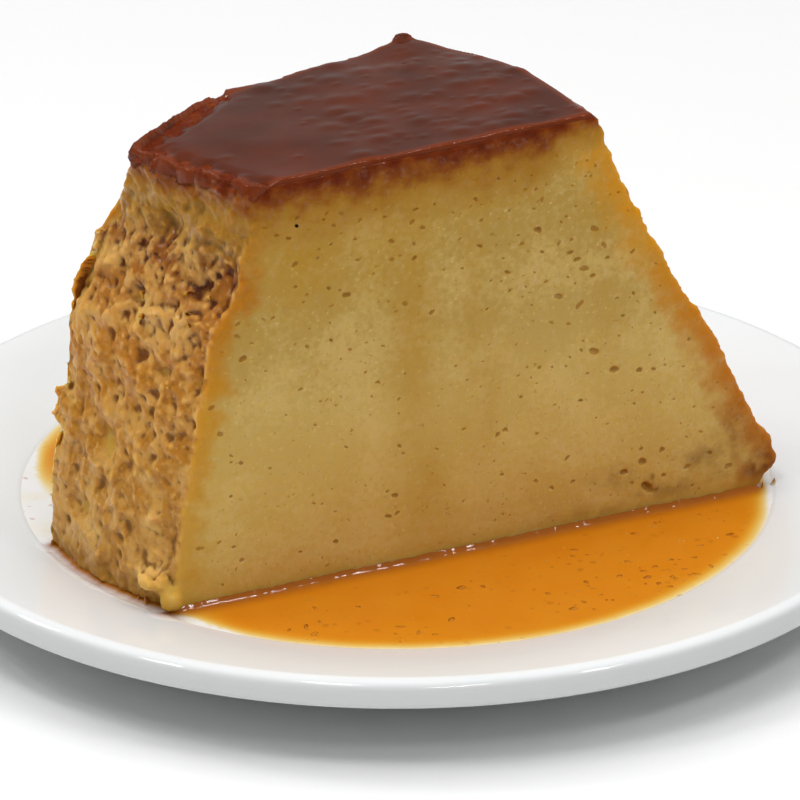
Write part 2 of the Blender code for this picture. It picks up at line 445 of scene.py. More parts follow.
def well_profile(lift=0.0):
    """The plate's inside from its axis to the start of its slope, raised by lift."""
    corner = WELL_EDGE[0] - (WELL_EDGE[1] - WELL_FLOOR) / math.tan(WELL_TILT)
    low = (corner - WELL_BLEND * math.tan(WELL_TILT / 2), WELL_FLOOR + WELL_BLEND + lift)
    start = EDGE_BLEND * math.tan((WELL_TILT - SLOPE_TILT) / 2)
    high = (
        WELL_EDGE[0] + start * math.cos(SLOPE_TILT) + EDGE_BLEND * math.sin(SLOPE_TILT),
        WELL_EDGE[1] + start * math.sin(SLOPE_TILT) - EDGE_BLEND * math.cos(SLOPE_TILT) + lift,
    )
    wall = math.degrees(WELL_TILT)
    curve = arc(low, WELL_BLEND, -90, wall - 90, 6)
    curve += arc(high, EDGE_BLEND, 90 + wall, 90 + math.degrees(SLOPE_TILT), 6)
    return [(0.0, WELL_FLOOR + lift)] + curve


def plate_surface(radius):
    """Height of the plate's inside at this distance from the axis, out to the rim."""
    radii, heights = zip(*well_profile())
    rise = (radius - radii[-1]) * math.tan(SLOPE_TILT)
    return heights[-1] + rise if radius > radii[-1] else float(np.interp(radius, radii, heights))


def plate_profile():
    tilt = math.degrees(SLOPE_TILT)
    rim = (PLATE_RADIUS - RIM_ROUND, PLATE_HEIGHT - RIM_ROUND)
    lip = (PLATE_RADIUS - LIP_ROUND, PLATE_HEIGHT - RIM_ROUND - LIP_SIDE)
    profile = well_profile()
    profile += arc(rim, RIM_ROUND, 90 + tilt, 0, 12)
    profile += arc(lip, LIP_ROUND, 0, tilt - 90, 8)
    profile += [(BASE_RADIUS, BASE_HEIGHT), (FOOT_OUTER, BASE_HEIGHT)]
    profile += arc((FOOT_OUTER - FOOT_ROUND, FOOT_ROUND), FOOT_ROUND, 0, -90, 4)
    profile += arc((FOOT_INNER + FOOT_ROUND, FOOT_ROUND), FOOT_ROUND, -90, -180, 4)
    profile += [(FOOT_INNER, BASE_HEIGHT), (0.0, BASE_HEIGHT)]
    return profile


def turned(name, profile, steps):
    """A closed solid: a vertex is extruded along the profile, and the line is spun round the Z axis."""
    bpy.ops.object.select_all(action="DESELECT")
    bpy.ops.mesh.primitive_plane_add(size=MM, location=(0, 0, 0))
    piece = bpy.context.active_object
    piece.name = name
    bpy.ops.object.mode_set(mode="EDIT")
    bpy.ops.mesh.select_all(action="SELECT")
    bpy.ops.mesh.merge(type="CENTER")
    bpy.ops.mesh.select_mode(type="VERT")
    bpy.ops.mesh.select_all(action="SELECT")
    bpy.ops.transform.translate(value=(profile[0][0], 0, profile[0][1]))
    for (old_r, old_z), (new_r, new_z) in zip(profile, profile[1:]):
        bpy.ops.mesh.extrude_vertices_move(TRANSFORM_OT_translate={"value": (new_r - old_r, 0, new_z - old_z)})
    bpy.ops.mesh.select_all(action="SELECT")
    bpy.ops.mesh.spin(steps=steps, angle=math.tau, center=(0, 0, 0), axis=(0, 0, 1))
    bpy.ops.mesh.select_all(action="SELECT")
    bpy.ops.mesh.remove_doubles(threshold=0.002 * MM)
    bpy.ops.mesh.normals_make_consistent(inside=False)
    bpy.ops.object.mode_set(mode="OBJECT")
    return piece


plate = turned("plate_glazed", plate_profile(), SPIN_STEPS)
take(plate)
bpy.ops.object.shade_smooth_by_angle(angle=math.radians(40))
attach(plate, "root")
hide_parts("plate")
print("plate", triangles(plate), "triangles, slope", round(math.degrees(SLOPE_TILT), 1), "degrees")

# %% [markdown]
# ### Glaze
# White porcelain under a clear glaze is a diffuse white with a sharp reflection. A very weak, wide bump keeps
# the reflections from looking drawn with a ruler, and slight patches of tone stop it from being one flat white.
# On the rim's outer side, which faces down and away from the lamps, the glaze is painted a little greyer, as painted
# shade.

# %% Glaze material
def outer_side_shade(point, normal):
    """1 on the plate's outer side, below the roundest part of its rim, where the glaze gets painted shade."""
    return ramp(point.xy.length, PLATE_RADIUS - 1.0 * MM, PLATE_RADIUS - 0.2 * MM) if normal.z > -0.3 else 1.0


paint(plate, "rim_underside_shade", outer_side_shade)
glaze, tree, shader = new_material("white_glaze", Roughness=0.09, IOR=1.5)
place = own_place(tree)
tone = use_group(tree, patches, Vector=place, Size=40.0, Contrast=1.5)
colour = blend_colours(tree, tone.outputs["Share"], (0.78, 0.80, 0.805), (0.82, 0.835, 0.84))
# painted shade: the rim's outer side and underside are painted greyer
colour = blend_colours(tree, stored(tree, "rim_underside_shade"), colour, (0.62, 0.635, 0.63))
tree.links.new(colour, shader.inputs["Base Color"])
wave = use_group(tree, grain, Vector=place, Size=22.0)
tree.links.new(bump(tree, wave.outputs["Height"], 0.12, 0.6 * MM), shader.inputs["Normal"])
plate.data.materials.append(glaze)
print("glaze done")

# %% [markdown]
# ## Custard: the body
# The slice's form comes from the frame: knife cuts in front and behind, mould walls left and right. The left
# side is torn and lumpy, so balls of many sizes are set on it first, some listed one by one and some at random. A
# voxel remesh melts balls and block into one even skin, as a sculptor would, and smoothing softens it. The long
# corner between the torn side and the front cut is round on the real slice, so it is smoothed once more alone.

# %% Block and lumps
block_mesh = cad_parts["custard"].data
block_tree = BVHTree.FromPolygons(
    [vertex.co for vertex in block_mesh.vertices], [tuple(face.vertices) for face in block_mesh.polygons]
)


def wall_tree(node, wanted):
    """The faces of a frame node that look the wanted way, as a tree that finds nearest points."""
    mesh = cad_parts[node].data
    faces = [tuple(face.vertices) for face in mesh.polygons if wanted(face.normal)]
    return BVHTree.FromPolygons([vertex.co for vertex in mesh.vertices], faces)


left_wall = wall_tree("custard", lambda normal: normal.x < -0.6)
right_wall = wall_tree("custard", lambda normal: normal.x > 0.6)


def distance(tree, point):
    return tree.find_nearest(point)[3]


def left_side(y, z):
    """The point of the slice's left side at this depth and height, found by a ray from the left."""
    return block_tree.ray_cast(Vector((-0.2, y, z)), Vector((1, 0, 0)))[0]


def top_height(x):
    """Height of the leaning top at this x, from the caramel layer's box."""
    low_x, high_x = -36 * MM, 19.3 * MM
    return caramel_high.z - 1.7 * MM * (high_x - x) / (high_x - low_x)


# Lumps listed one by one: (y, z, radius, how proud of the side), in millimetres
LEFT_LUMPS = (
    (-9.4, 61.0, 2.6, 0.8), (-1.8, 57.2, 3.0, 0.9), (-3.3, 61.6, 2.2, 0.6), (-13.1, 53.3, 3.0, 0.8),
    (-6.4, 52.5, 2.6, 0.9), (0.6, 50.0, 3.2, 0.8), (-20.0, 54.0, 2.4, 0.6), (-17.8, 67.6, 1.9, 1.0),
    (-16.5, 63.6, 2.2, 0.9), (-8.9, 17.0, 2.6, 1.2), (-23.4, 15.4, 3.0, 2.3), (-26.2, 12.4, 2.3, 1.9),
    (-15.1, 21.6, 2.2, 0.7), (-22.1, 24.0, 2.0, 0.7), (-3.0, 13.5, 2.4, 0.6), (0.5, 29.0, 2.8, 0.5),
    (-11.0, 40.5, 3.4, 0.4), (-23.5, 71.0, 1.8, 0.8), (-8.0, 70.0, 1.8, 0.7), (-12.0, 73.0, 1.6, 0.7),
    (-24.0, 73.6, 1.6, 0.9), (-20.5, 73.4, 1.5, 1.0), (-17.0, 73.8, 1.7, 0.9), (-14.0, 72.6, 1.4, 1.0),
    (-9.5, 73.6, 1.6, 0.9), (-6.5, 73.2, 1.5, 0.9), (-3.5, 73.6, 1.5, 0.9), (-0.5, 73.0, 1.5, 0.9),
    (-15.0, 58.0, 3.2, 0.7), (-18.5, 49.0, 2.8, 0.7), (-4.0, 47.5, 2.2, 0.7), (-12.5, 15.5, 2.2, 1.0),
)
CURD_COUNT = 230
SLICE_VOXEL = 0.7 * MM
curd_dice = random.Random(11)


def on_left_side(y, z, radius, proud):
    """The matrix of a lump that stands this proud of the left side, all in millimetres."""
    centre = left_side(y * MM, z * MM) + Vector((radius - proud, 0, 0)) * MM
    size = (radius * MM, radius * curd_dice.uniform(0.9, 1.8) * MM, radius * curd_dice.uniform(0.6, 1.0) * MM)
    return placed(centre, size, (curd_dice.uniform(-1.0, 1.0), 0, 0))


lump_places = [on_left_side(*lump) for lump in LEFT_LUMPS]
while len(lump_places) < CURD_COUNT:
    y, z = curd_dice.uniform(-23, 7), curd_dice.uniform(11.5, 73)
    if z > 73 - 0.28 * (y + 27) * 1.0 and y > 2:
        continue
    spot = left_side(y * MM, z * MM)
    if spot is None or distance(left_wall, spot) > 0.5 * MM:
        continue
    radius = curd_dice.choice((0.9, 1.1, 1.3, 1.6, 2.0))
    lump_places.append(on_left_side(y, z, radius, radius * curd_dice.uniform(0.1, 0.45)))

custard = copy_node("custard", "custard_slice")
pick_faces(custard, lambda centre, normal: normal.z > 0.9 and centre.z > custard_high.z - 3 * MM)
bpy.ops.transform.translate(value=(0, 0, 1.55 * MM))
bpy.ops.object.mode_set(mode="OBJECT")
lumps = scatter("lumps", [ball(2)], lump_places)
take(lumps)
custard.select_set(True)
bpy.context.view_layer.objects.active = custard
bpy.ops.object.join()
work(custard, "REMESH", mode="VOXEL", voxel_size=SLICE_VOXEL)
work(custard, "SMOOTH", factor=0.5, iterations=2)


def corner_share(point, normal):
    """1 along the corner between the torn side and the front cut."""
    if point.x > -20 * MM or point.z < 17 * MM:
        return 0.0
    return ramp(distance(left_wall, point), 4 * MM, 1.5 * MM) * ramp(point.y - FRONT_Y, 5 * MM, 2 * MM)


weigh(custard, "corner", corner_share)
work(custard, "SMOOTH", factor=0.6, iterations=24, vertex_group="corner")
custard.vertex_groups.remove(custard.vertex_groups["corner"])
print("custard skin", triangles(custard), "triangles,", len(lump_places), "lumps")

# %% [markdown]
# ### Pits
# Air bubbles in baked custard are cut open by the knife and show as small pits. They are real hollows, so they
# are cut with one Boolean: a cutter that holds a few hundred little balls, set in the two cut planes. The cutter
# has its own material, which the Boolean carries into the hollows.

# %% Pit places
PIT_ROOM = 1.7
# The larger pits of the front cut: (x, z, radius) in millimetres
LARGE_PITS = (
    (10.0, 61.7, 0.75), (19.6, 60.1, 0.85), (21.3, 57.2, 0.7), (17.9, 53.9, 0.65), (13.7, 50.1, 0.7),
    (17.2, 48.0, 0.7), (19.9, 39.9, 0.65), (23.4, 36.2, 0.7), (27.8, 35.3, 0.65), (16.7, 55.6, 0.5),
    (25.5, 65.1, 0.6), (4.8, 55.8, 0.5), (7.3, 59.9, 0.55), (13.6, 58.8, 0.55), (10.7, 58.0, 0.45),
    (28.6, 19.7, 0.7), (32.1, 21.0, 0.55), (25.4, 18.5, 0.65), (29.6, 15.2, 0.95), (32.4, 16.6, 0.5),
    (26.9, 16.4, 0.4), (-43.0, 38.5, 0.6), (-44.3, 43.0, 0.5), (-40.0, 53.8, 0.55), (-39.0, 50.0, 0.65),
    (-46.5, 20.5, 0.65), (-22.0, 57.0, 0.5), (36.5, 17.2, 0.6), (40.5, 18.8, 0.6), (43.8, 15.8, 0.7),
)
dice = random.Random(7)


def cut_width(z):
    """Left and right ends of the front cut at this height, found on the block."""
    y = FRONT_Y + 0.5 * MM
    left = block_tree.ray_cast(Vector((-0.2, y, z)), Vector((1, 0, 0)))[0]
    right = block_tree.ray_cast(Vector((0.2, y, z)), Vector((-1, 0, 0)))[0]
    return left.x, right.x


def cut_plane_y(x, z, side):
    """Where the front (side -1) or back (side 1) cut lies at this x and z."""
    hit = block_tree.ray_cast(Vector((x, side * 0.2, z)), Vector((0, -side, 0)))[0]
    return hit.y if hit else None


def pit_spots(count, side):
    """Random spots on a cut as (x, z, radius), more of them to the right and near the top."""
    spots = [(x * MM, z * MM, r * MM) for x, z, r in LARGE_PITS] if side < 0 else []
    tries = 0
    while len(spots) < count and tries < count * 60:
        tries += 1
        z = dice.uniform(13, 74) * MM
        left, right = cut_width(z)
        x = dice.uniform(left + 1.5 * MM, right - 1.5 * MM)
        wanted = 0.3 + 0.5 * (x - left) / (right - left) + 0.3 * ramp(z, 40 * MM, 70 * MM)
        if dice.random() > wanted:
            continue
        radius = dice.choice((0.2, 0.22, 0.26, 0.3, 0.34, 0.42)) * MM
        if all(math.hypot(x - a, z - b) > PIT_ROOM * (radius + c) for a, b, c in spots):
            spots.append((x, z, radius))
    return spots


def uneven_ball(detail, offset):
    """A ball whose skin is pushed in and out a little, so no two pits are alike."""
    mesh = ball(detail)
    for vertex in mesh.vertices:
        vertex.co *= 1 + 0.45 * noise.noise(vertex.co * 1.3 + Vector((offset, 0, 0)))
    return mesh


pit_places = []
for side, count in ((-1, 280), (1, 120)):
    for x, z, radius in pit_spots(count, side):
        y = cut_plane_y(x, z, side)
        if y is None:
            continue
        outward = side * dice.uniform(0.1, 0.65) * radius
        size = (radius * dice.uniform(1.0, 1.6), radius, radius * dice.uniform(0.75, 1.0))
        pit_places.append(placed(Vector((x, y + outward, z)), size, (0, dice.uniform(-0.7, 0.7), 0)))
print("pits", len(pit_places))

# %% Cutting the pits
custard_finish = bpy.data.materials.new("cut_custard")
# The pits' material is the custard painted a darker amber, as painted shade inside the pits
pit_shade_finish = bpy.data.materials.new("pit_custard_shaded")
custard.data.materials.append(custard_finish)
pit_cutter = scatter("pit_cutter", [uneven_ball(2, shift) for shift in (1.7, 5.2, 9.4, 13.1)], pit_places)
pit_cutter.data.materials.append(pit_shade_finish)
work(custard, "BOOLEAN", operation="DIFFERENCE", solver="EXACT", material_mode="TRANSFER", object=pit_cutter)
bpy.data.objects.remove(pit_cutter)
pit_corners = {corner for face in custard.data.polygons if face.material_index for corner in face.vertices}
pit_group = custard.vertex_groups.new(name="pits")
pit_group.add(list(pit_corners), 1.0, "REPLACE")
work(custard, "SMOOTH", factor=0.5, iterations=3, vertex_group="pits")
print("custard", triangles(custard), "triangles, materials", [item.name for item in custard.data.materials])

# %% [markdown]
# ### Torn left side
# The torn side gets finer cells by subdivision. Then it is pressed in at many small dents, and two displacements
# add soft heaps of curd and a finer unevenness. Vertex groups keep all of this off the smooth cuts.

# %% Shaping the sides
def clouds(name, size, depth=2):
    pattern = bpy.data.textures.new(name, "CLOUDS")
    pattern.noise_scale = size
    pattern.noise_depth = depth
    return pattern


def billows(name, size):
    """A pattern of soft heaps with narrow creases between them."""
    pattern = clouds(name, size, 1)
    pattern.noise_type = "HARD_NOISE"
    return pattern


def displace(piece, texture, strength, middle=0.5, group=""):
    work(piece, "DISPLACE", texture=texture, texture_coords="LOCAL", strength=strength, mid_level=middle,
         vertex_group=group)


def torn_share(point, normal):
    """1 on the torn side, fading out before the front cut and the back cut."""
    if point.x > -20 * MM:
        return 0.0
    near = ramp(distance(left_wall, point), 2.6 * MM, 1.2 * MM)
    return near * ramp(point.y - FRONT_Y, 0.1 * MM, 1.5 * MM) * ramp(-normal.x, -0.4, 0.2)


def rugged_share(point, normal):
    """The torn side again, weaker on its lower half, which is flatter."""
    return torn_share(point, normal) * ramp(point.z, 34 * MM, 56 * MM) * 0.5 + 0.5 * torn_share(point, normal)


def read_vectors(piece, name):
    """The vertices' co or normal as rows of three numbers."""
    values = np.empty(len(piece.data.vertices) * 3)
    piece.data.vertices.foreach_get(name, values)
    return values.reshape(-1, 3)


# Dents in the torn side: (y, z, radius, depth) in millimetres; a negative depth is a swelling
SIDE_DENTS = [
    (-4.3, 58.0, 1.6, 1.4), (-9.2, 55.0, 1.5, 1.3), (-8.9, 32.2, 2.2, 1.7), (-20.4, 59.0, 1.2, 1.1),
    (-6.1, 20.8, 2.0, 1.4), (-15.1, 30.5, 1.1, 0.9), (-14.0, 47.0, 1.1, 0.9), (-18.0, 40.0, 1.1, 0.8),
    (-10.5, 66.5, 2.4, 0.9), (-20.0, 33.0, 0.9, 0.7), (4.5, 64.0, 3.6, 1.9), (5.0, 59.5, 1.8, -0.7),
    (4.5, 55.5, 3.0, 1.9), (4.0, 73.0, 4.5, -1.6), (2.0, 33.0, 7.0, 0.6), (-17.0, 55.5, 1.6, 1.0),
]
PORE_COUNT = 170
pore_dice = random.Random(17)
for _ in range(PORE_COUNT):
    pore = pore_dice.choice((0.45, 0.55, 0.7, 0.9))
    SIDE_DENTS.append((pore_dice.uniform(-26, 4), pore_dice.uniform(12, 73), pore, pore * pore_dice.uniform(0.4, 0.8)))


def press(piece, dents):
    """Pushes the torn side in at these dents, each a bell curve."""
    skin = read_vectors(piece, "co")
    free = np.array([torn_share(vertex.co, vertex.normal) for vertex in piece.data.vertices])
    inward = np.zeros(len(skin))
    for y, z, radius, depth in dents:
        far = (skin[:, 1] / MM - y) ** 2 + (skin[:, 2] / MM - z) ** 2
        inward += depth * MM * np.exp(-far / radius ** 2)
    skin[:, 0] += free * inward
    piece.data.vertices.foreach_set("co", skin.ravel())
    piece.data.update()


def right_share(point, normal):
    """1 on the right skin."""
    return ramp(distance(right_wall, point), 1.6 * MM, 0.6 * MM) if point.x > 10 * MM else 0.0


weigh(custard, "lumps", torn_share)
work(custard, "SMOOTH", factor=0.5, iterations=4, vertex_group="lumps")
pick_faces(custard, lambda centre, normal: torn_share(centre, normal) > 0.02)
bpy.ops.mesh.subdivide(number_cuts=1)
bpy.ops.object.mode_set(mode="OBJECT")
weigh(custard, "torn", torn_share)
weigh(custard, "rugged", rugged_share)
weigh(custard, "right_edge", right_share)
weigh(custard, "corner_edge", lambda point, normal: corner_share(point, normal) * (1 - torn_share(point, normal)))
weigh(custard, "below_top", lambda point, normal: ramp(top_height(point.x) - point.z, 2.5 * MM, 7 * MM))
weigh(custard, "sunk", lambda point, normal: torn_share(point, normal) * ramp(point.z, 73 * MM, 62 * MM))
displace(custard, None, -1.1 * MM, 0.0, "sunk")
displace(custard, clouds("swell", 7 * MM), 1.3 * MM, 0.5, "rugged")
press(custard, SIDE_DENTS)
displace(custard, billows("curds", 2.8 * MM), 0.9 * MM, 0.45, "rugged")
displace(custard, clouds("small_curds", 1.0 * MM), 0.65 * MM, 0.5, "torn")
work(custard, "SMOOTH", factor=0.5, iterations=2, vertex_group="torn")
displace(custard, clouds("corner_bumps", 1.4 * MM), 0.7 * MM, 0.5, "corner_edge")
displace(custard, clouds("skin_bumps", 2.2 * MM), 1.0 * MM, 0.5, "right_edge")
displace(custard, clouds("hand", 14 * MM), 0.5 * MM, 0.5, "below_top")
displace(custard, clouds("cut_grain", 1.6 * MM), 0.28 * MM, 0.5, "below_top")
print("sides shaped,", triangles(custard), "triangles")

# %% [markdown]
# ### Numbers for the colour
# Each vertex gets a few numbers for the material: how deep it lies under the caramel, which soaks in and browns
# the custard; how near it is to the left and right mould walls, where the skin is golden; whether it lies in a
# hollow or on a hump, which the material turns into painted shade in hollows and paler painted light on humps;
# and how strong the amber streaks and the brown bruises are there.

# %% Painting the numbers
SOAK_DEPTH = 16 * MM
SKIN_DEPTH = 9 * MM
HOLLOW_DEPTH = 0.30 * MM
# Streaks and bruises of the front cut: (x, z, half width, half height, strength), in millimetres
AMBER_STREAKS = (
    (-11, 52, 4, 22, 0.7), (-1, 50, 2.5, 20, 0.4), (-16, 62, 6, 8, 0.6), (2, 38, 2.5, 16, 0.35),
    (-29, 64, 8, 9, 0.9), (-9, 24, 4, 8, 0.45), (22, 46, 4, 8, 0.3), (-40, 56, 4, 10, 0.5), (21, 64, 5, 6, 0.5),
)
BROWN_BRUISES = (
    (49.8, 14.3, 3.0, 2.0, 1.0), (39.2, 18.0, 4.0, 2.6, 0.5), (29.4, 15.2, 1.1, 1.3, 1.0),
    (28.3, 14.4, 0.7, 0.6, 0.9), (30.4, 16.6, 0.5, 0.9, 0.9), (31.1, 14.4, 0.8, 0.5, 0.9), (42.5, 14.6, 2.4, 0.7, 0.7),
    (44.5, 21.0, 4.0, 5.0, 0.4), (33.5, 14.0, 5.0, 2.0, 0.4), (20.0, 12.5, 8.0, 1.6, 0.3),
    (24.0, 18.0, 4.0, 2.0, 0.3), (50.0, 15.5, 2.0, 2.5, 0.9),
)


# Pale curds of the torn side: (y, z, half width, half height, strength), in millimetres
PALE_CURDS = (
    (-23.4, 15.4, 3.2, 2.8, 1.0), (-26.2, 12.2, 2.2, 2.2, 0.9), (-13.1, 53.3, 4.5, 2.6, 0.8), (-1.8, 58.5, 3.5, 1.6, 0.8),
    (-16.0, 64.5, 1.6, 2.4, 0.7), (-20.5, 54.0, 3.0, 3.0, 0.5), (-9.0, 18.0, 2.6, 1.6, 0.7), (-15.0, 21.5, 1.5, 1.5, 0.5),
    (-22.1, 23.5, 1.3, 2.2, 0.6), (1.0, 51.0, 3.0, 2.5, 0.6), (-7.0, 51.0, 2.0, 1.5, 0.6),
)


def neighbour_mean(piece, rounds):
    """Each vertex's place, and the same after this many rounds of averaging with its neighbours."""
    mesh = piece.data
    count = len(mesh.vertices)
    places = np.empty(count * 3)
    mesh.vertices.foreach_get("co", places)
    places = places.reshape(-1, 3)
    ends = np.empty(len(mesh.edges) * 2, np.int64)
    mesh.edges.foreach_get("vertices", ends)
    first, second = ends.reshape(-1, 2).T
    here, there = np.concatenate((first, second)), np.concatenate((second, first))
    links = np.bincount(here, minlength=count)[:, None]
    mean = places
    for _ in range(rounds):
        sums = [np.bincount(here, weights=mean[there, axis], minlength=count) for axis in range(3)]
        mean = (mean + np.stack(sums, 1)) / (1 + links)
    return places, mean


def hollow_share(piece, rounds, depth):
    """0.5 on a flat place, towards 1 in a hollow and towards 0 on a hump."""
    places, mean = neighbour_mean(piece, rounds)
    normals = np.empty(len(places) * 3)
    piece.data.vertices.foreach_get("normal", normals)
    height = ((mean - places) * normals.reshape(-1, 3)).sum(1)
    return np.clip(0.5 + 0.5 * height / depth, 0, 1)


def stain(across, z, stains):
    """The strongest of these stains at a place that is given by a distance across and a height."""
    across, z = across / MM, z / MM
    return max(s * math.exp(-(((across - a) / w) ** 2) - ((z - b) / h) ** 2) for a, b, w, h, s in stains)


def soak_depth(point, normal):
    """Depth under the top as a share of the soaked zone, which is thinner at the right end."""
    depth = (top_height(point.x) - point.z) * (1 + 1.1 * ramp(point.x, 9 * MM, 19 * MM))
    return max(0.0, min(1.0, depth / SOAK_DEPTH))


def store(piece, name, values):
    layer = piece.data.attributes.new(name, "FLOAT", "POINT")
    layer.data.foreach_set("value", np.asarray(values, np.float32))


paint(custard, "depth", soak_depth)
paint(custard, "left_skin", lambda point, normal: 1 - min(1.0, distance(left_wall, point) / SKIN_DEPTH))
paint(custard, "right_skin", lambda point, normal: 1 - min(1.0, distance(right_wall, point) / SKIN_DEPTH))
paint(custard, "torn_side", torn_share)
paint(custard, "amber", lambda point, normal: stain(point.x, point.z, AMBER_STREAKS))
paint(custard, "pale_curd", lambda point, normal: stain(point.y, point.z, PALE_CURDS) if point.x < -35 * MM else 0)
paint(custard, "bruise", lambda point, normal: stain(point.x, point.z, BROWN_BRUISES))
store(custard, "hollow", hollow_share(custard, 10, HOLLOW_DEPTH))
take(custard)
bpy.ops.object.shade_smooth_by_angle(angle=math.radians(70))
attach(custard, "root")
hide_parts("custard")
print("numbers painted")

# %% [markdown]
# ### Custard's finish
# Light goes a little way into custard, so it has subsurface scattering. Its colour is built up in the order in
# which the cook made it: pale custard, amber streaks, golden mould skin, the torn side, and the caramel's soak.
# Painted light is mixed in too: the cut gets paler towards its foot, partly its own tone and partly painted light
# from the front; the torn side's humps are painted paler, and its hollows, pores and the pits darker, as painted
# shade.
# A thin wet coat lies over the torn side and, in small patches, over the cuts.

# %% Custard material
# The custard's colour by height, paler towards the foot: partly its own tone, partly painted light standing in for
# light from the front
CUSTARD_TONE_AND_LIGHT_STOPS = (
    (0.0, (0.60, 0.395, 0.098)), (0.35, (0.585, 0.405, 0.115)), (0.65, (0.50, 0.34, 0.090)), (1.0, (0.455, 0.29, 0.062)),
)
CUSTARD_PALE = (0.68, 0.50, 0.18)
CUSTARD_AMBER = (0.46, 0.255, 0.024)
SPECK_BROWN = (0.34, 0.15, 0.012)
BRUISE_BROWN = (0.13, 0.030, 0.003)
PIT_SHADE_AMBER = (0.36, 0.155, 0.012)
SOAK_STOPS = (
    (0.00, (0.105, 0.012, 0.001)), (0.10, (0.16, 0.024, 0.002)), (0.22, (0.26, 0.075, 0.005)),
    (0.38, (0.38, 0.18, 0.016)), (0.80, (0.46, 0.26, 0.036)),
)
RIGHT_STOPS = ((0.0, (0.44, 0.15, 0.010)), (0.35, (0.52, 0.19, 0.009)), (0.8, (0.60, 0.28, 0.014)))
LEFT_STOPS = ((0.0, (0.57, 0.33, 0.055)), (0.5, (0.56, 0.28, 0.020)), (0.8, (0.46, 0.19, 0.012)))
TORN_STOPS = (
    (0.0, (0.47, 0.225, 0.038)), (0.25, (0.46, 0.205, 0.022)), (0.6, (0.47, 0.19, 0.019)),
    (0.8, (0.36, 0.130, 0.012)), (0.95, (0.17, 0.036, 0.004)),
)
TORN_BROWN = (0.28, 0.10, 0.010)
TORN_FOOT = (0.24, 0.085, 0.008)
# painted shade: colours for the torn side's hollows and pores, near-black where they are deepest
CREVICE_SHADE_STOPS = ((0.0, (0.26, 0.11, 0.015)), (0.6, (0.20, 0.06, 0.008)), (0.85, (0.08, 0.013, 0.002)))
CURD_PALE = (0.70, 0.42, 0.12)


